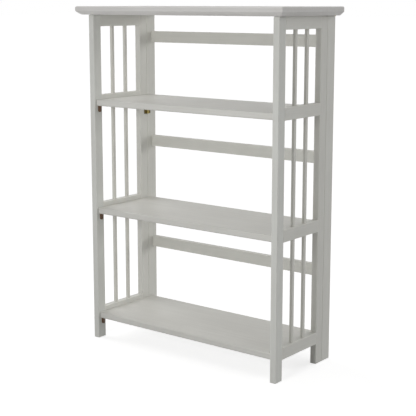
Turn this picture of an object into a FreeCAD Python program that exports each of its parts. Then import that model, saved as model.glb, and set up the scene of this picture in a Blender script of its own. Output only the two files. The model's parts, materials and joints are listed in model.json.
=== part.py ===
import FreeCAD, Part
import math
import os

# Folding bookcase in painted wood. Two slatted side frames are hinged to a back frame, three
# shelves turn up on pins in the back stiles, and the top turns up on hinges at its rear edge.
# Millimetres. The origin is on the floor at the centre of the footprint, +Z is up, the front
# faces -Y, and +X is to the right of someone who faces the front.

Vector = FreeCAD.Vector
X = Vector(1, 0, 0)
Y = Vector(0, 1, 0)
Z = Vector(0, 0, 1)

# Overall size. The depth runs from the top's front edge to the back of the top hinges.
WIDTH = 698.5
DEPTH = 292.1
HEIGHT = 965.2

# Top
TOP_THICKNESS = 23.4
SIDE_OVERHANG = 26.0
FRONT_OVERHANG = 26.5
TOP_UPPER_ROUND = 4.5       # rounded upper arris
TOP_BEVEL_HEIGHT = 10.4     # undercut bevel below the nose
TOP_BEVEL_INSET = 13.0
TOP_BEVEL_CROWN = 0.6       # how far the bevel bulges from flat

# Frame members
BOARD = 18.0                # thickness of posts, stiles and side rails
POST_DEPTH = 30.0
REAR_STILE_DEPTH = 30.0
BACK_STILE_DEPTH = 38.0
SEAM = 0.5                  # gap between a side frame and the back frame
RAIL_HEIGHT = 33.0
BACK_RAIL_THICKNESS = 15.0
ARRIS = 1.2                 # eased long edges
TOP_END_ROUND = 3.5         # rounded upper ends of posts and stiles
FOOT_ROUND = 2.0

# Slats: two in each bay of a side frame
SLAT_THICKNESS = 7.5
SLAT_DEPTH = 10.0
SLAT_SPACING = 54.2         # centre to centre
SLAT_TENON = 6.0            # length let into each rail

# Shelves
SHELF_THICKNESS = 18.0
LOWER_SHELF_TOP = 77.0
SHELF_COUNT = 3
FOLDED_HEADROOM = 19.2      # folded upper shelf to the underside of the top
SHELF_END_GAP = 1.0
SHELF_SETBACK = 7.0         # front edge behind the front of the posts
SHELF_NOSE_ROUND = 4.0
SHELF_REAR_ROUND = 3.0
RAIL_ABOVE_SHELF = 13.0     # side rail's top edge above the shelf's surface
BACK_RAIL_DROP = 31.7       # back rail's top edge below the front edge of the folded shelf

# Shelf pivots
PIVOT_PIN_RADIUS = 3.0
PIVOT_CLEARANCE = 0.05
PIVOT_PIN_IN_SHELF = 20.0
PIVOT_PIN_IN_STILE = 10.0
PIVOT_PIN_CHAMFER = 0.5
PIVOT_BORE_RELIEF = 0.5     # space past the end of the pin
FOLDED_CLEARANCE = 1.0      # folded shelf to the side frames' plane
SHELF_BEHIND_PIVOT = 7.5

# Shelf supports on the front posts
SUPPORT_DEPTH = 9.0
SUPPORT_HEIGHT = 18.0
SUPPORT_PROJECTION = 5.0
SUPPORT_SETBACK = 18.0      # centre behind the front of the post
SUPPORT_ARRIS = 0.6
SPIGOT_RADIUS = 3.0
SPIGOT_LENGTH = 9.0
SPIGOT_DROP = 9.0           # below the top of the support

# Dowels
DOWEL_RADIUS = 4.0
DOWEL_SPACING = 16.0
DOWEL_IN_RAIL = 16.0
DOWEL_IN_POST = 12.0
DOWEL_CHAMFER = 0.8

# Hinges
HINGE_PIN_CLEARANCE = 0.05
HINGE_RUNNING_GAP = 0.2     # between knuckles, and round them
LEAF_CORNER_ROUND = 1.5
SIDE_HINGE_LENGTH = 36.0
SIDE_HINGE_LEAF_WIDTH = 13.0
SIDE_HINGE_LEAF = 1.2
SIDE_HINGE_KNUCKLE_RADIUS = 2.5
SIDE_HINGE_PIN_RADIUS = 1.3
SIDE_HINGE_BELOW_SHELF = 3.5
SIDE_HINGE_SHELVES = (1, 2)  # shelves, counted from the floor, that have hinges below them
TOP_HINGE_EDGE = 0.5        # stile beside the hinge
TOP_HINGE_LEAF_WIDTH = 15.0
TOP_HINGE_LEAF = 1.2
TOP_HINGE_KNUCKLE_RADIUS = 2.0
TOP_HINGE_PIN_RADIUS = 1.0

# Screws
SIDE_SCREW_SPACING = 24.0
TOP_SCREW_SPACING = 9.0
SIDE_SCREW_HEAD_RADIUS = 2.6
TOP_SCREW_HEAD_RADIUS = 2.2
SCREW_SHANK_RADIUS = 1.2
SCREW_LENGTH = 11.0
SCREW_POINT_LENGTH = 2.4
SCREW_TIP_RADIUS = 0.3
SCREW_SLOT_WIDTH = 0.6
SCREW_SLOT_DEPTH = 0.7

TOUCH = 0.01                # two things nearer than this are in the same place

# Places worked out from the sizes
frame_top = HEIGHT - TOP_THICKNESS
outer_x = WIDTH / 2 - SIDE_OVERHANG
inner_x = outer_x - BOARD
front_y = -DEPTH / 2 + FRONT_OVERHANG
rear_y = DEPTH / 2 - TOP_HINGE_KNUCKLE_RADIUS
back_stile_y = rear_y - BACK_STILE_DEPTH
seam_y = back_stile_y - SEAM
rear_stile_y = seam_y - REAR_STILE_DEPTH
post_back_y = front_y + POST_DEPTH
back_rail_y = rear_y - BACK_RAIL_THICKNESS
pivot_y = back_stile_y + SHELF_THICKNESS / 2 + FOLDED_CLEARANCE
shelf_front_y = front_y + SHELF_SETBACK
folded_rise = pivot_y - shelf_front_y - SHELF_THICKNESS / 2     # folded shelf above its own surface
upper_shelf_top = frame_top - FOLDED_HEADROOM - folded_rise
shelf_pitch = (upper_shelf_top - LOWER_SHELF_TOP) / (SHELF_COUNT - 1)
shelf_tops = [LOWER_SHELF_TOP + shelf_pitch * step for step in range(SHELF_COUNT)]
level_names = ["lower", "middle", "upper"]
hand_names = {-1: "left", 1: "right"}


def save(name, solids):
    """Write one piece, or one group of like pieces, to its own file."""
    shape = solids[0] if len(solids) == 1 else Part.makeCompound(solids)
    shape.exportStep("parts/" + name + ".step")


def block(low, high):
    size = high.sub(low)
    return Part.makeBox(size.x, size.y, size.z, low)


def cylinder(radius, start, end):
    run = end.sub(start)
    return Part.makeCylinder(radius, run.Length, start, run)


def edges_along(shape, direction):
    """Straight edges that run along a direction."""
    lines = [edge for edge in shape.Edges if isinstance(edge.Curve, Part.Line)]
    return [edge for edge in lines if edge.tangentAt(edge.FirstParameter).cross(direction).Length < TOUCH]


def bar(low, high, along, round_radius=ARRIS):
    """A length of timber with its four long edges eased."""
    timber = block(low, high)
    return timber.makeFillet(round_radius, edges_along(timber, along))


def upright(low, high):
    """A post or stile: eased long edges, a rounded upper end and a lightly rounded foot."""
    timber = bar(low, high, Z)
    middle = (low.z + high.z) / 2
    for along in (X, Y):
        ends = block(low, high)
        upper = [edge for edge in edges_along(ends, along) if edge.CenterOfMass.z > middle]
        ends = ends.makeFillet(TOP_END_ROUND, upper)
        lower = [edge for edge in edges_along(ends, along) if edge.CenterOfMass.z < low.z + TOUCH]
        ends = ends.makeFillet(FOOT_ROUND, lower)
        timber = timber.common(ends)
    return timber.Solids[0]


def tipped_pin(radius, start, end, chamfer):
    """A round pin or dowel with chamfered ends."""
    pin = cylinder(radius, start, end)
    rims = [edge for edge in pin.Edges if isinstance(edge.Curve, Part.Circle)]
    return pin.makeChamfer(chamfer, rims)


def drilled(piece, pins):
    """The piece with a hole for each pin that enters it."""
    for pin in pins:
        if piece.BoundBox.intersect(pin.BoundBox):
            piece = piece.cut(pin)
    return piece.Solids[0]


def prism(outline, along):
    """A solid from a closed outline of edges, drawn out along a vector."""
    return Part.Face(Part.Wire(outline)).extrude(along)


def screw(seat, inward, head_radius, slot_across):
    """Countersunk slotted screw: the head's face is centred at seat and the point lies inward."""
    head = Part.makeCone(head_radius, SCREW_SHANK_RADIUS, head_radius - SCREW_SHANK_RADIUS, seat, inward)
    shank_end = seat + inward * (SCREW_LENGTH - SCREW_POINT_LENGTH)
    shank = cylinder(SCREW_SHANK_RADIUS, seat, shank_end)
    point = Part.makeCone(SCREW_SHANK_RADIUS, SCREW_TIP_RADIUS, SCREW_POINT_LENGTH, shank_end, inward)
    whole = head.fuse([shank, point]).removeSplitter()
    along = inward.cross(slot_across)
    reach = slot_across * (SCREW_SLOT_WIDTH / 2) + along * head_radius
    corner = seat - reach
    far = seat + reach + inward * SCREW_SLOT_DEPTH
    low = Vector(min(corner.x, far.x), min(corner.y, far.y), min(corner.z, far.z))
    high = Vector(max(corner.x, far.x), max(corner.y, far.y), max(corner.z, far.z))
    return whole.cut(block(low, high)).Solids[0]


class Hinge:
    """A butt hinge, open flat. Its axis passes through centre along axis. One leaf lies on the
    side that spread points to and the other on the opposite side. outward points from the wood
    to the knuckles, and seat is the depth of the leaves' backs below the axis."""

    def __init__(self, centre, axis, spread, outward, seat, sizes):
        self.centre = centre
        self.axis = axis
        self.spread = spread
        self.outward = outward
        self.seat = seat
        self.length = sizes["length"]
        self.leaf_width = sizes["leaf_width"]
        self.leaf = sizes["leaf"]
        self.knuckle = sizes["knuckle"]
        self.pin_radius = sizes["pin"]
        self.screw_spacing = sizes["screw_spacing"]
        self.screw_head = sizes["screw_head"]

    def place(self, along, across, out):
        """A point from its distances along the axis, across the leaf and out of the wood."""
        return self.centre + self.axis * along + self.spread * across + self.outward * out

    def slab(self, along, across, out):
        """A block between pairs of distances in the hinge's own directions."""
        one = self.place(along[0], across[0], out[0])
        two = self.place(along[1], across[1], out[1])
        low = Vector(min(one.x, two.x), min(one.y, two.y), min(one.z, two.z))
        high = Vector(max(one.x, two.x), max(one.y, two.y), max(one.z, two.z))
        return block(low, high)

    def knuckle_spans(self, side):
        """The outer two thirds of the knuckles belong to side -1 and the middle one to side 1."""
        half = self.length / 2
        middle = self.length / 6
        gap = HINGE_RUNNING_GAP / 2
        if side > 0:
            return [(-middle + gap, middle - gap)]
        return [(-half, -middle - gap), (middle + gap, half)]

    def round_bar(self, radius, span):
        return cylinder(radius, self.place(span[0], 0, 0), self.place(span[1], 0, 0))

    def screw_places(self, side):
        across = side * (self.leaf_width + self.knuckle) / 2
        face = self.leaf - self.seat
        return [self.place(step * self.screw_spacing / 2, across, face) for step in (-1, 1)]

    def screws(self, side):
        inward = self.outward * -1
        return [screw(place, inward, self.screw_head, self.axis) for place in self.screw_places(side)]

    def leaf_piece(self, side):
        """One leaf with its knuckles, screw holes and room for the other leaf's knuckles."""
        half = self.length / 2
        plate = self.slab((-half, half), (0, side * self.leaf_width), (-self.seat, self.leaf - self.seat))
        corners = [edge for edge in edges_along(plate, self.outward)
                   if abs(edge.CenterOfMass.sub(self.centre).dot(self.spread)) > self.leaf_width / 2]
        plate = plate.makeFillet(LEAF_CORNER_ROUND, corners)
        for span in self.knuckle_spans(side):
            plate = plate.fuse(self.round_bar(self.knuckle, span))
        clear = self.knuckle + HINGE_RUNNING_GAP
        for span in self.knuckle_spans(-side):
            wider = (span[0] - HINGE_RUNNING_GAP, span[1] + HINGE_RUNNING_GAP)
            plate = plate.cut(self.slab(wider, (-clear, clear), (-clear, clear)))
        bore = self.pin_radius if side < 0 else self.pin_radius + HINGE_PIN_CLEARANCE
        plate = plate.cut(self.round_bar(bore, (-self.length, self.length)))
        return drilled(plate, self.screws(side))

    def pin(self):
        half = self.length / 2
        start = self.place(-half, 0, 0)
        end = self.place(half, 0, 0)
        return tipped_pin(self.pin_radius, start, end, self.pin_radius / 4)

    def recess(self):
        """The wood taken away where leaves and knuckles are let in below the wood's face."""
        half = self.length / 2
        reach = self.leaf_width
        pocket = self.slab((-half, half), (-reach, reach), (-self.seat, self.knuckle))
        groove = self.round_bar(self.knuckle + HINGE_RUNNING_GAP, (-half, half))
        return pocket.fuse(groove)


def make_dowels(rail_low, rail_high, along):
    """Two dowels at each end of a rail that runs along X or Y."""
    centre = (rail_low + rail_high) * 0.5
    half_length = rail_high.sub(rail_low).dot(along) / 2
    dowels = []
    for end in (-1, 1):
        joint = centre + along * (end * half_length)
        for step in (-1, 1):
            middle = joint + Z * (step * DOWEL_SPACING / 2)
            inner = middle - along * (end * DOWEL_IN_RAIL)
            outer = middle + along * (end * DOWEL_IN_POST)
            dowels.append(tipped_pin(DOWEL_RADIUS, inner, outer, DOWEL_CHAMFER))
    return dowels


def span_x(hand):
    """Low and high X of the frame members on one side."""
    return sorted([hand * inner_x, hand * outer_x])


def rail_tops():
    """Side rails from the floor up: one at each shelf, and one under the top."""
    return [top + RAIL_ABOVE_SHELF for top in shelf_tops] + [frame_top]


def make_support(hand, shelf_top):
    """Brown support that carries the front of a shelf, with a spigot into the post."""
    under = shelf_top - SHELF_THICKNESS
    centre_y = front_y + SUPPORT_SETBACK
    half = SUPPORT_DEPTH / 2
    x_low, x_high = sorted([hand * inner_x, hand * (inner_x - SUPPORT_PROJECTION)])
    body = block(Vector(x_low, centre_y - half, under - SUPPORT_HEIGHT), Vector(x_high, centre_y + half, under))
    foot = [edge for edge in edges_along(body, X) if edge.CenterOfMass.z < under - SUPPORT_HEIGHT / 2]
    body = body.makeFillet(half - SUPPORT_ARRIS, foot)
    inner_face = [edge for edge in body.Edges
                  if abs(edge.CenterOfMass.x - hand * (inner_x - SUPPORT_PROJECTION)) < TOUCH
                  and edge.CenterOfMass.z < under - TOUCH]
    body = body.makeChamfer(SUPPORT_ARRIS, inner_face)
    spigot_z = under - SPIGOT_DROP
    start = Vector(hand * inner_x, centre_y, spigot_z)
    end = Vector(hand * (inner_x + SPIGOT_LENGTH), centre_y, spigot_z)
    return body.fuse(cylinder(SPIGOT_RADIUS, start, end)).Solids[0]


def make_pivot_pins(shelf_top):
    """The two steel pins that a shelf turns on."""
    middle_z = shelf_top - SHELF_THICKNESS / 2
    shelf_end = inner_x - SHELF_END_GAP
    pins = []
    for hand in hand_names:
        start = Vector(hand * (shelf_end - PIVOT_PIN_IN_SHELF), pivot_y, middle_z)
        end = Vector(hand * (inner_x + PIVOT_PIN_IN_STILE), pivot_y, middle_z)
        pins.append(tipped_pin(PIVOT_PIN_RADIUS, start, end, PIVOT_PIN_CHAMFER))
    return pins


def pivot_bore(hand, shelf_top):
    middle_z = shelf_top - SHELF_THICKNESS / 2
    start = Vector(hand * (inner_x - SHELF_END_GAP), pivot_y, middle_z)
    end = Vector(hand * (inner_x + PIVOT_PIN_IN_STILE + PIVOT_BORE_RELIEF), pivot_y, middle_z)
    return cylinder(PIVOT_PIN_RADIUS + PIVOT_CLEARANCE, start, end)


def make_shelf(shelf_top, pins):
    """A shelf board with a rounded front edge, eased rear edges and a hole for each pivot pin."""
    shelf_end = inner_x - SHELF_END_GAP
    low = Vector(-shelf_end, shelf_front_y, shelf_top - SHELF_THICKNESS)
    high = Vector(shelf_end, pivot_y + SHELF_BEHIND_PIVOT, shelf_top)
    board = block(low, high)
    front = [edge for edge in edges_along(board, X) if edge.CenterOfMass.y < 0]
    board = board.makeFillet(SHELF_NOSE_ROUND, front)
    rear = [edge for edge in edges_along(board, X) if edge.CenterOfMass.y > high.y - TOUCH]
    board = board.makeFillet(SHELF_REAR_ROUND, rear)
    return drilled(board, pins)


def make_side_frame(hand, hinge_screws):
    """One slatted side frame and its shelf supports."""
    name = hand_names[hand]
    x_low, x_high = span_x(hand)
    post = upright(Vector(x_low, front_y, 0), Vector(x_high, post_back_y, frame_top))
    stile = upright(Vector(x_low, rear_stile_y, 0), Vector(x_high, seam_y, frame_top))

    rails = []
    dowels = []
    for rail_top in rail_tops():
        low = Vector(x_low, post_back_y, rail_top - RAIL_HEIGHT)
        high = Vector(x_high, rear_stile_y, rail_top)
        rail_dowels = make_dowels(low, high, Y)
        rails.append(drilled(bar(low, high, Y), rail_dowels))
        dowels += rail_dowels

    slats = []
    bay_middle_y = (post_back_y + rear_stile_y) / 2
    board_middle_x = (x_low + x_high) / 2
    half = Vector(SLAT_THICKNESS / 2, SLAT_DEPTH / 2, 0)
    for bay in range(SHELF_COUNT):
        foot_z = rail_tops()[bay] - SLAT_TENON
        head_z = rail_tops()[bay + 1] - RAIL_HEIGHT + SLAT_TENON
        for step in (-1, 1):
            centre_y = bay_middle_y + step * SLAT_SPACING / 2
            foot = Vector(board_middle_x, centre_y, foot_z)
            head = Vector(board_middle_x, centre_y, head_z)
            slat = bar(foot - half, head + half, Z, ARRIS / 2)
            slats.append(slat)
            slat_name = name + "_" + level_names[bay] + "_" + {-1: "front", 1: "rear"}[step] + "_slat"
            save(slat_name, [slat])

    rail_names = [level + "_rail" for level in level_names] + ["top_rail"]
    for rail, rail_name in zip(rails, rail_names):
        save(name + "_" + rail_name, [drilled(rail, slats)])

    supports = [make_support(hand, shelf_top) for shelf_top in shelf_tops]
    save(name + "_front_post", [drilled(post, dowels + supports)])
    save(name + "_rear_stile", [drilled(stile, dowels + hinge_screws)])
    save(name + "_frame_dowels", dowels)
    save(name + "_shelf_supports", supports)


def make_back_frame(side_screws, top_screws, top_hinges):
    """Two stiles and three rails, with bores for the shelf pins and recesses for the hinges."""
    rail_end = inner_x
    dowels = []
    for level, shelf_top in zip(level_names, shelf_tops):
        rail_top = shelf_top + folded_rise - BACK_RAIL_DROP
        low = Vector(-rail_end, back_rail_y, rail_top - RAIL_HEIGHT)
        high = Vector(rail_end, rear_y, rail_top)
        rail_dowels = make_dowels(low, high, X)
        save("back_" + level + "_rail", [drilled(bar(low, high, X), rail_dowels)])
        dowels += rail_dowels
    save("back_frame_dowels", dowels)

    for hand, name in hand_names.items():
        x_low, x_high = span_x(hand)
        stile = upright(Vector(x_low, back_stile_y, 0), Vector(x_high, rear_y, frame_top))
        bores = [pivot_bore(hand, shelf_top) for shelf_top in shelf_tops]
        recesses = [hinge.recess() for hinge in top_hinges]
        save(name + "_back_stile", [drilled(stile, dowels + bores + side_screws + recesses + top_screws)])


def nose_outline(reach, rear_reach, to_point):
    """Closed outline of the top's edge. reach is the half size at the moulded edge, rear_reach
    the half size at the other side or None where that side is moulded too."""
    bevel_mid_out = TOP_BEVEL_INSET / 2
    bevel_mid_up = TOP_BEVEL_HEIGHT / 2
    run = math.hypot(TOP_BEVEL_INSET, TOP_BEVEL_HEIGHT)
    bulge_out = TOP_BEVEL_CROWN * TOP_BEVEL_HEIGHT / run
    bulge_down = TOP_BEVEL_CROWN * TOP_BEVEL_INSET / run
    corner = TOP_UPPER_ROUND * (1 - math.sqrt(0.5))
    upper = HEIGHT - TOP_UPPER_ROUND

    def edge_points(side, half):
        return {
            "foot": to_point(side * (half - TOP_BEVEL_INSET), frame_top),
            "bevel": to_point(side * (half - bevel_mid_out + bulge_out), frame_top + bevel_mid_up - bulge_down),
            "nose": to_point(side * half, frame_top + TOP_BEVEL_HEIGHT),
            "shoulder": to_point(side * half, upper),
            "round": to_point(side * (half - corner), HEIGHT - corner),
            "crown": to_point(side * (half - TOP_UPPER_ROUND), HEIGHT),
        }

    def moulded_edge(points):
        return [
            Part.Arc(points["foot"], points["bevel"], points["nose"]).toShape(),
            Part.makeLine(points["nose"], points["shoulder"]),
            Part.Arc(points["shoulder"], points["round"], points["crown"]).toShape(),
        ]

    near = edge_points(-1, reach)
    if rear_reach is None:
        far = edge_points(1, reach)
        edges = moulded_edge(near) + [Part.makeLine(near["crown"], far["crown"])]
        return edges + moulded_edge(far)[::-1] + [Part.makeLine(far["foot"], near["foot"])]
    upper_corner = to_point(rear_reach, HEIGHT)
    lower_corner = to_point(rear_reach, frame_top)
    return moulded_edge(near) + [
        Part.makeLine(near["crown"], upper_corner),
        Part.makeLine(upper_corner, lower_corner),
        Part.makeLine(lower_corner, near["foot"]),
    ]


def make_top(hinges, screws):
    """The top: one edge outline drawn across and one drawn back, meeting at mitred corners."""
    front_outline = nose_outline(DEPTH / 2, rear_y, lambda across, up: Vector(-WIDTH / 2, across, up))
    side_outline = nose_outline(WIDTH / 2, None, lambda across, up: Vector(across, -DEPTH / 2, up))
    panel = prism(front_outline, X * WIDTH).common(prism(side_outline, Y * DEPTH))
    return drilled(panel, [hinge.recess() for hinge in hinges] + screws)


def make_side_hinges(hand):
    """The hinges of one side frame, on the inner faces, below the shelves."""
    sizes = {
        "length": SIDE_HINGE_LENGTH,
        "leaf_width": SIDE_HINGE_LEAF_WIDTH,
        "leaf": SIDE_HINGE_LEAF,
        "knuckle": SIDE_HINGE_KNUCKLE_RADIUS,
        "pin": SIDE_HINGE_PIN_RADIUS,
        "screw_spacing": SIDE_SCREW_SPACING,
        "screw_head": SIDE_SCREW_HEAD_RADIUS,
    }
    hinges = []
    for level in SIDE_HINGE_SHELVES:
        top_z = shelf_tops[level] - SHELF_THICKNESS - SIDE_HINGE_BELOW_SHELF
        centre = Vector(
            hand * (inner_x - SIDE_HINGE_KNUCKLE_RADIUS),
            (seam_y + back_stile_y) / 2,
            top_z - SIDE_HINGE_LENGTH / 2,
        )
        hinges.append(Hinge(centre, Z, Y * -1, X * -hand, SIDE_HINGE_KNUCKLE_RADIUS, sizes))
    return hinges


def make_top_hinges():
    """Two hinges let into the rear faces of the back stiles and the rear edge of the top."""
    sizes = {
        "length": BOARD - 2 * TOP_HINGE_EDGE,
        "leaf_width": TOP_HINGE_LEAF_WIDTH,
        "leaf": TOP_HINGE_LEAF,
        "knuckle": TOP_HINGE_KNUCKLE_RADIUS,
        "pin": TOP_HINGE_PIN_RADIUS,
        "screw_spacing": TOP_SCREW_SPACING,
        "screw_head": TOP_SCREW_HEAD_RADIUS,
    }
    hinges = []
    for hand in hand_names:
        centre = Vector(hand * (inner_x + outer_x) / 2, rear_y, frame_top)
        hinges.append(Hinge(centre, X, Z, Y, TOP_HINGE_LEAF, sizes))
    return hinges


os.makedirs("parts", exist_ok=True)

side_hinges = {hand: make_side_hinges(hand) for hand in hand_names}
top_hinges = make_top_hinges()
stile_side_screws = []
for hand, name in hand_names.items():
    frame_screws = [item for hinge in side_hinges[hand] for item in hinge.screws(1)]
    stile_screws = [item for hinge in side_hinges[hand] for item in hinge.screws(-1)]
    stile_side_screws += stile_screws
    make_side_frame(hand, frame_screws)
    save(name + "_hinge_frame_leaves", [hinge.leaf_piece(1) for hinge in side_hinges[hand]])
    save(name + "_hinge_stile_leaves", [hinge.leaf_piece(-1) for hinge in side_hinges[hand]])
    save(name + "_hinge_pins", [hinge.pin() for hinge in side_hinges[hand]])
    save(name + "_hinge_screws", frame_screws + stile_screws)

lifting_screws = [item for hinge in top_hinges for item in hinge.screws(1)]
fixed_screws = [item for hinge in top_hinges for item in hinge.screws(-1)]
save("top_panel", [make_top(top_hinges, lifting_screws)])
save("top_hinge_upper_leaves", [hinge.leaf_piece(1) for hinge in top_hinges])
save("top_hinge_lower_leaves", [hinge.leaf_piece(-1) for hinge in top_hinges])
save("top_hinge_pins", [hinge.pin() for hinge in top_hinges])
save("top_hinge_upper_screws", lifting_screws)
save("top_hinge_lower_screws", fixed_screws)

make_back_frame(stile_side_screws, fixed_screws, top_hinges)

for level, shelf_top in zip(level_names, shelf_tops):
    pins = make_pivot_pins(shelf_top)
    save(level + "_shelf", [make_shelf(shelf_top, pins)])
    save(level + "_shelf_pins", pins)
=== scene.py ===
"""Finishes, studio and camera for a folding bookcase of painted wood."""

import json
import math

import bpy
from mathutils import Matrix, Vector


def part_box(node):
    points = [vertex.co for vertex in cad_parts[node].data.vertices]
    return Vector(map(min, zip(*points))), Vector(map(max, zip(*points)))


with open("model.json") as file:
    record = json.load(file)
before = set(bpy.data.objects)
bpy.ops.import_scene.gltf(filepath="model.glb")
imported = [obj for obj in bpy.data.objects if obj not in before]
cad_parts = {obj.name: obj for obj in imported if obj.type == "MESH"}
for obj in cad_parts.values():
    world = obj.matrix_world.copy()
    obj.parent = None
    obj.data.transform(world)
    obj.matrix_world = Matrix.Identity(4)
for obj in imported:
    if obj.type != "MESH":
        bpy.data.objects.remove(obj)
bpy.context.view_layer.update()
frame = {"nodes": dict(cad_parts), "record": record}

# Camera: place in metres, turn and downward tilt in radians, lens in picture widths, sensor
# in millimetres.
CAMERA_PLACE = (1.7854, -2.2852, 0.9760)
CAMERA_TURN = 0.6607
CAMERA_TILT = 0.1697
CAMERA_LENS = 1055.3 / 416
CAMERA_SHIFT_UP = -0.06
SENSOR = 36.0

# Studio. A lamp's strength is the light that reaches the bookcase; the far lamps' direction
# points from the bookcase to them, and their spread is in degrees. A far lamp's light is the
# same at any distance.
AMBIENT = 0.30
FLOOR_TONE = 0.50
FLOOR_TONE_RANGE = 0.01
FLOOR_LIFT = 0.73
FLOOR_SIZE = 120.0
FAR_LAMPS = {
    "rear_lamp": {"toward": (0.337, 0.925, 0.174), "strength": 2.00, "spread": 40, "glare": False},
    "left_lamp": {"toward": (-0.766, 0.0, 0.643), "strength": 1.00, "spread": 40, "glare": True},
}
FAR_LAMP_DISTANCE = 4.0
FRONT_LAMP_PLACE = (0.3, -2.0, 1.0)
FRONT_LAMP_AIM = (0.0, 0.0, 0.5)
FRONT_LAMP_SIZE = 0.4
FRONT_LAMP_STRENGTH = 0.95

# Paint, in linear colour: its light and dark streaks, and the painted highlight along its edges.
PAINT_LIGHT = (0.788, 0.788, 0.744)
PAINT_DARK = (0.614, 0.606, 0.563)
PAINT_EDGE_HIGHLIGHT = (0.820, 0.810, 0.755)
PAINT_ROUGHNESS = 0.46
# Painted light: what a kind of piece multiplies the paint's colour by, under the last word of its
# name;
# the top panel and posts are tinted cooler like the sheen on them, the slats darker and pinker
# like the shade on them.
PAINTED_LIGHT_TINTS = {
    "panel": (1.006, 0.992, 1.030),
    "post": (0.996, 1.008, 1.018),
    "shelf": (1.004, 0.998, 1.004),
    "slat": (0.992, 0.990, 0.980),
}
NO_PAINTED_TINT = (1.0, 1.0, 1.0)
# How much each pattern moves the paint's tone and its roughness.
MOTTLE_IN_TONE = 0.55
STREAKS_IN_TONE = 0.70
EDGE_HIGHLIGHT_IN_TONE = 0.45
MOTTLE_IN_ROUGHNESS = 0.10
STREAKS_IN_ROUGHNESS = 0.16
END_GRAIN_IN_ROUGHNESS = 0.12
EDGE_HIGHLIGHT_IN_ROUGHNESS = 0.04
EDGE_WANDER = 0.004         # metres that the streaks move the edges' painted highlight in and out
# Boards' lightness: how many steps there are, how large one is, and the stride from a piece
# to the next.
TONE_STEPS = 5
TONE_STEP = 0.035
TONE_STRIDE = 7

# Other finishes, in linear colour.
STAIN_DARK = (0.040, 0.022, 0.010)
STAIN_LIGHT = (0.190, 0.094, 0.042)
GRAIN_IN_STAIN = 0.6
FIGURE_IN_STAIN = 0.4
BEECH_DARK = (0.50, 0.32, 0.17)
BEECH_LIGHT = (0.70, 0.51, 0.32)
# Brass: the dark olive pair is painted shade, the brighter pair a painted highlight round the
# knuckles.
BRASS_PAINTED_SHADE_DARK = (0.070, 0.052, 0.018)
BRASS_PAINTED_SHADE_LIGHT = (0.200, 0.155, 0.050)
BRASS_PAINTED_HIGHLIGHT_DARK = (0.330, 0.265, 0.085)
BRASS_PAINTED_HIGHLIGHT_LIGHT = (0.470, 0.385, 0.140)
BRASS_ROUGHNESS = 0.48
KNUCKLE_HIGHLIGHT_IN_BRASS_ROUGHNESS = 0.16
PATINA_IN_BRASS_ROUGHNESS = 0.2
STEEL_DARK = (0.50, 0.50, 0.50)
STEEL_LIGHT = (0.66, 0.66, 0.65)

# The hinges, metres: X and Y of the right side hinges' axis, Y and Z of the top hinges' axis,
# how far round an axis the brass carries its painted highlight and over what width that fades,
# and a height that only the top hinges reach.
SIDE_HINGE_AXIS = (0.30275, 0.1058)
TOP_HINGE_AXIS = (0.14405, 0.9418)
KNUCKLE_REACH = 0.0034
KNUCKLE_FADE = 0.0008
PATINA_WANDER = 0.001
TOP_HINGES_ABOVE = 0.9

EVEN = (1, 1, 1)            # a pattern that isn't stretched
NOISE_MIDDLE = 0.5


class Field:
    """A shader socket that takes part in arithmetic like a number."""

    def __init__(self, graph, socket):
        self.graph = graph
        self.socket = socket

    def math(self, operation, first, second):
        return self.graph.node("ShaderNodeMath", {"operation": operation}, {0: first, 1: second})

    def __add__(self, other):
        return self.math("ADD", self, other)

    __radd__ = __add__

    def __mul__(self, other):
        return self.math("MULTIPLY", self, other)

    __rmul__ = __mul__

    def __sub__(self, other):
        return self.math("SUBTRACT", self, other)

    def __rsub__(self, other):
        return self.math("SUBTRACT", other, self)

    def lesser(self, other):
        return self.math("MINIMUM", self, other)

    def greater(self, other):
        return self.math("MAXIMUM", self, other)

    def fade(self, start, end):
        """1 where this is at or below start, 0 at or above end, smooth between."""
        return self.graph.node(
            "ShaderNodeMapRange",
            {"interpolation_type": "SMOOTHSTEP"},
            {"Value": self, "From Min": start, "From Max": end, "To Min": 1.0, "To Max": 0.0},
        )


class Graph:
    """The node tree of one material or of the world."""

    def __init__(self, owner):
        owner.use_nodes = True
        self.tree = owner.node_tree
        self.owner = owner

    def node(self, kind, settings=None, inputs=None, output=0):
        """Adds a node: its settings first, then its sockets; returns one of its outputs."""
        made = self.tree.nodes.new(kind)
        for name, value in (settings or {}).items():
            setattr(made, name, value)
        for name, value in (inputs or {}).items():
            self.feed(made.inputs[name], value)
        return Field(self, made.outputs[output])

    def feed(self, socket, value):
        if isinstance(value, Field):
            self.tree.links.new(value.socket, socket)
        else:
            socket.default_value = value

    def shader(self, **sockets):
        """Sets the material's main shader; a socket's name has _ for each space."""
        shader = self.tree.nodes["Principled BSDF"]
        for name, value in sockets.items():
            self.feed(shader.inputs[name.replace("_", " ")], value)

    def noise(self, place, scale=1.0, detail=2.0, roughness=0.5):
        return self.node(
            "ShaderNodeTexNoise",
            None,
            {"Vector": place, "Scale": scale, "Detail": detail, "Roughness": roughness},
            output="Fac",
        )

    def mix_colour(self, factor, first, second):
        return self.node(
            "ShaderNodeMix", {"data_type": "RGBA"}, {0: factor, 6: first, 7: second}, output=2
        )

    def vector(self, operation, first, second):
        return self.node("ShaderNodeVectorMath", {"operation": operation}, {0: first, 1: second})

    def stretched(self, stretch, shift):
        """The piece's own coordinates, scaled and shifted."""
        place = self.node("ShaderNodeTexCoord", output="Object")
        return self.node(
            "ShaderNodeMapping", None, {"Vector": place, "Location": shift, "Scale": stretch}
        )

    def bump(self, height, distance, strength, under=None):
        sockets = {"Height": height, "Distance": distance, "Strength": strength}
        if under is not None:
            sockets["Normal"] = under
        return self.node("ShaderNodeBump", None, sockets)


def rgba(colour):
    return (*colour, 1.0)


def grey(level):
    return rgba((level,) * 3)


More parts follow.
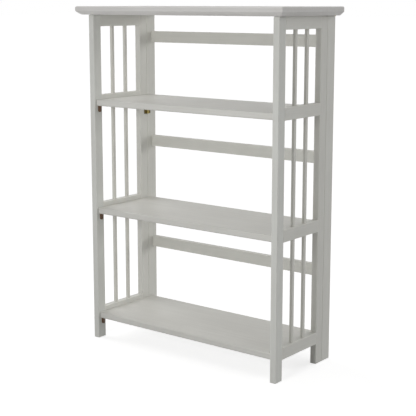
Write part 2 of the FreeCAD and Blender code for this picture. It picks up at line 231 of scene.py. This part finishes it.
def new_graph(name):
    return Graph(bpy.data.materials.new(name))


def dress(node, graph):
    slots = frame["nodes"][node].data.materials
    slots.clear()
    slots.append(graph.owner)


def axis_steps(node, graph):
    """For X, Y and Z: how far a point is inside the node's box, metres."""
    low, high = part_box(node)
    place = graph.node("ShaderNodeTexCoord", output="Object")
    split = graph.tree.nodes.new("ShaderNodeSeparateXYZ")
    graph.feed(split.inputs[0], place)
    steps = []
    for axis in range(3):
        value = Field(graph, split.outputs[axis])
        steps.append((value - low[axis]).lesser(high[axis] - value))
    return steps


def long_axis(node):
    low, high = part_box(node)
    sizes = high - low
    return max(range(3), key=lambda axis: sizes[axis])


def board_stretch(axis, along, across):
    return tuple(along if each == axis else across for each in range(3))


def board_tone(number):
    """A small lightness step, so that neighbouring boards differ."""
    step = number * TONE_STRIDE % TONE_STEPS - TONE_STEPS // 2
    return NOISE_MIDDLE + step * TONE_STEP


def piece_shift(number, strides):
    """Moves a pattern from piece to piece, so that no two pieces show the same part of it."""
    return tuple(stride * number for stride in strides)


def paint(node, number):
    """Satin paint over a board whose grain runs along the piece."""
    graph = new_graph(f"white_paint_{node}")
    # The tint is painted light: cooler where sheen falls, darker and pinker where shade falls.
    painted_tint = PAINTED_LIGHT_TINTS.get(node.split("_")[-1], NO_PAINTED_TINT)
    light, dark, painted_highlight = (
        rgba([part * share for part, share in zip(colour, painted_tint)])
        for colour in (PAINT_LIGHT, PAINT_DARK, PAINT_EDGE_HIGHLIGHT)
    )
    axis = long_axis(node)
    shift = piece_shift(number, (0.37, 0.61, 0.83))
    even = graph.stretched(EVEN, shift)
    along_grain = graph.stretched(board_stretch(axis, along=4, across=110), shift)
    fine_grain = graph.stretched(board_stretch(axis, along=40, across=900), shift)
    mottle = graph.noise(even, scale=9.0, detail=3.0, roughness=0.55) - NOISE_MIDDLE
    streaks = graph.noise(along_grain, detail=5.0, roughness=0.65) - NOISE_MIDDLE
    pores = graph.noise(fine_grain, roughness=0.6)
    stipple = graph.noise(even, scale=1100.0, detail=1.0)

    # Painted highlight where two of the three distances to the piece's faces are small.
    steps = axis_steps(node, graph)
    largest = steps[0].greater(steps[1]).greater(steps[2])
    edge_reach = steps[0] + steps[1] + steps[2] - largest
    wander = streaks * EDGE_WANDER
    edge_highlight_mask = (edge_reach + wander).fade(start=0.0006, end=0.0026)
    end_grain = (steps[axis] + wander).fade(start=0.0, end=0.0030)

    lightness = mottle * MOTTLE_IN_TONE + streaks * STREAKS_IN_TONE + board_tone(number)
    tone = graph.mix_colour(lightness, dark, light)
    # Lighter paint along the arrises is a painted highlight.
    tone = graph.mix_colour(edge_highlight_mask * EDGE_HIGHLIGHT_IN_TONE, tone, painted_highlight)
    rough = (
        PAINT_ROUGHNESS
        + streaks * STREAKS_IN_ROUGHNESS
        + mottle * MOTTLE_IN_ROUGHNESS
        + end_grain * END_GRAIN_IN_ROUGHNESS
        - edge_highlight_mask * EDGE_HIGHLIGHT_IN_ROUGHNESS
    )
    relief = graph.bump(streaks, distance=0.00030, strength=0.5)
    relief = graph.bump(pores, distance=0.00008, strength=0.4, under=relief)
    relief = graph.bump(stipple, distance=0.00005, strength=0.35, under=relief)
    graph.shader(Base_Color=tone, Roughness=rough, Normal=relief, IOR=1.48)
    dress(node, graph)


def stained(node, number):
    """Dark brown stained hardwood with open grain."""
    graph = new_graph(f"brown_stain_{node}")
    shift = piece_shift(number, (0.41, 0.23, 0.71))
    grain = graph.noise(graph.stretched((700, 700, 60), shift), detail=4.0, roughness=0.65)
    figure = graph.noise(graph.stretched((90, 90, 22), shift))
    tone = graph.mix_colour(
        grain * GRAIN_IN_STAIN + figure * FIGURE_IN_STAIN, rgba(STAIN_DARK), rgba(STAIN_LIGHT)
    )
    relief = graph.bump(grain, distance=0.0002, strength=0.6)
    graph.shader(Base_Color=tone, Roughness=0.38 + grain * 0.2, Normal=relief, IOR=1.5)
    dress(node, graph)


def beech(node, number):
    """Bare beech with its short flecks."""
    graph = new_graph(f"bare_wood_{node}")
    shift = piece_shift(number, (0.29, 0.53, 0.19))
    flecks = graph.noise(graph.stretched((260, 900, 900), shift), detail=3.0, roughness=0.6)
    tone = graph.mix_colour(flecks, rgba(BEECH_DARK), rgba(BEECH_LIGHT))
    relief = graph.bump(flecks, distance=0.0001, strength=0.5)
    graph.shader(Base_Color=tone, Roughness=0.62 + flecks * 0.15, Normal=relief)
    dress(node, graph)


def hinge_axis(node):
    """A point on the axis of the node's hinges, and 1 for each direction across that axis."""
    low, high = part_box(node)
    if high[2] > TOP_HINGES_ABOVE:
        return (0.0, *TOP_HINGE_AXIS), (0.0, 1.0, 1.0)
    hand = math.copysign(1.0, low[0])
    return (hand * SIDE_HINGE_AXIS[0], SIDE_HINGE_AXIS[1], 0.0), (1.0, 1.0, 0.0)


def brass(node, number):
    """Plated brass, darkened to olive brown as painted shade, with a painted highlight round the
    knuckles.
    """
    graph = new_graph(f"brass_{node}")
    shift = piece_shift(number, (0.17, 0.31, 0.13))
    place = graph.node("ShaderNodeTexCoord", output="Object")
    centre, across = hinge_axis(node)
    offset = graph.vector("MULTIPLY", graph.vector("SUBTRACT", place, centre), across)
    reach = graph.node("ShaderNodeVectorMath", {"operation": "LENGTH"}, {0: offset}, "Value")
    even = graph.stretched(EVEN, shift)
    patina = graph.noise(even, scale=260.0, detail=4.0, roughness=0.65)
    brushing = graph.noise(graph.stretched((2600, 2600, 220), shift))
    uneven = patina - NOISE_MIDDLE
    # Brighter brass round the knuckle axis is a painted highlight; the rest is darkened as painted
    # shade.
    painted_highlight = (reach + uneven * PATINA_WANDER).fade(KNUCKLE_REACH - KNUCKLE_FADE, KNUCKLE_REACH)
    brass_painted_shade = graph.mix_colour(patina, rgba(BRASS_PAINTED_SHADE_DARK), rgba(BRASS_PAINTED_SHADE_LIGHT))
    brass_painted_highlight = graph.mix_colour(patina, rgba(BRASS_PAINTED_HIGHLIGHT_DARK), rgba(BRASS_PAINTED_HIGHLIGHT_LIGHT))
    rough = (
        BRASS_ROUGHNESS
        - painted_highlight * KNUCKLE_HIGHLIGHT_IN_BRASS_ROUGHNESS
        + uneven * PATINA_IN_BRASS_ROUGHNESS
    )
    graph.shader(
        Base_Color=graph.mix_colour(painted_highlight, brass_painted_shade, brass_painted_highlight),
        Metallic=1.0,
        Roughness=rough,
        Normal=graph.bump(brushing, distance=0.00005, strength=0.4),
    )
    dress(node, graph)


def steel(node, number):
    """Bright drawn steel rod."""
    graph = new_graph(f"steel_{node}")
    shift = piece_shift(number, (0.11, 0.43, 0.67))
    drawn = graph.noise(graph.stretched((60, 4000, 4000), shift))
    tone = graph.mix_colour(drawn, rgba(STEEL_DARK), rgba(STEEL_LIGHT))
    relief = graph.bump(drawn, distance=0.00002, strength=0.4)
    graph.shader(Base_Color=tone, Metallic=1.0, Roughness=0.24 + drawn * 0.18, Normal=relief)
    dress(node, graph)


FINISHES = {
    "white_paint": paint,
    "brown_stain": stained,
    "bare_wood": beech,
    "brass": brass,
    "steel": steel,
}


def dress_all():
    parts = frame["record"]["subparts"]
    for number, part in enumerate(sorted(parts, key=lambda each: each["node"])):
        FINISHES[part["material_slot"]](part["node"], number)


def seen_directly(graph):
    """1 for what the camera sees, straight, mirrored or through glass."""
    kinds = ("Is Camera Ray", "Is Glossy Ray", "Is Transmission Ray")
    rays = [graph.node("ShaderNodeLightPath", output=kind) for kind in kinds]
    return (rays[0] + rays[1] + rays[2]).lesser(1.0)


def make_world():
    world = bpy.data.worlds.new("studio")
    bpy.context.scene.world = world
    graph = Graph(world)
    colour = graph.mix_colour(seen_directly(graph), grey(AMBIENT), grey(1.0))
    graph.feed(graph.tree.nodes["Background"].inputs["Color"], colour)


def make_floor():
    mesh = bpy.data.meshes.new("studio_floor")
    half = FLOOR_SIZE / 2
    corners = [(-half, -half, 0), (half, -half, 0), (half, half, 0), (-half, half, 0)]
    mesh.from_pydata(corners, [], [(0, 1, 2, 3)])
    floor = bpy.data.objects.new("studio_floor", mesh)
    bpy.context.scene.collection.objects.link(floor)
    graph = new_graph("studio_floor")
    haze = graph.noise(graph.node("ShaderNodeTexCoord", output="Object"), scale=0.8)
    tone = graph.mix_colour(
        haze, grey(FLOOR_TONE - FLOOR_TONE_RANGE), grey(FLOOR_TONE + FLOOR_TONE_RANGE)
    )
    lift = graph.mix_colour(seen_directly(graph), grey(0), grey(FLOOR_LIFT))
    graph.shader(
        Base_Color=tone,
        Roughness=0.9,
        Emission_Color=lift,
        Emission_Strength=1.0,
        Specular_IOR_Level=0.0,
    )
    mesh.materials.append(graph.owner)


def hang_lamp(name, data, place, toward, glare):
    """Adds a lamp; one with no glare lights the boards, but isn't mirrored in their gloss."""
    lamp = bpy.data.objects.new(name, data)
    lamp.location = place
    lamp.rotation_euler = toward.to_track_quat("Z", "Y").to_euler()
    lamp.visible_glossy = glare
    bpy.context.scene.collection.objects.link(lamp)


def make_lamps():
    for name, facts in FAR_LAMPS.items():
        data = bpy.data.lights.new(name, "SUN")
        data.energy = facts["strength"]
        data.angle = math.radians(facts["spread"])
        toward = Vector(facts["toward"])
        hang_lamp(name, data, toward * FAR_LAMP_DISTANCE, toward, facts["glare"])

    data = bpy.data.lights.new("front_lamp", "AREA")
    data.size = FRONT_LAMP_SIZE
    toward = Vector(FRONT_LAMP_PLACE) - Vector(FRONT_LAMP_AIM)
    data.energy = FRONT_LAMP_STRENGTH * math.pi * toward.length_squared
    hang_lamp("front_lamp", data, FRONT_LAMP_PLACE, toward, False)


def make_camera():
    data = bpy.data.cameras.new("camera")
    data.sensor_width = SENSOR
    data.lens = CAMERA_LENS * SENSOR
    data.shift_y = CAMERA_SHIFT_UP
    data.clip_end = 2 * FLOOR_SIZE
    camera = bpy.data.objects.new("camera", data)
    camera.location = CAMERA_PLACE
    camera.rotation_euler = (math.pi / 2 - CAMERA_TILT, 0.0, CAMERA_TURN)
    bpy.context.scene.collection.objects.link(camera)
    bpy.context.scene.camera = camera


dress_all()
make_world()
make_floor()
make_lamps()
make_camera()
bpy.context.scene.view_settings.view_transform = "Standard"
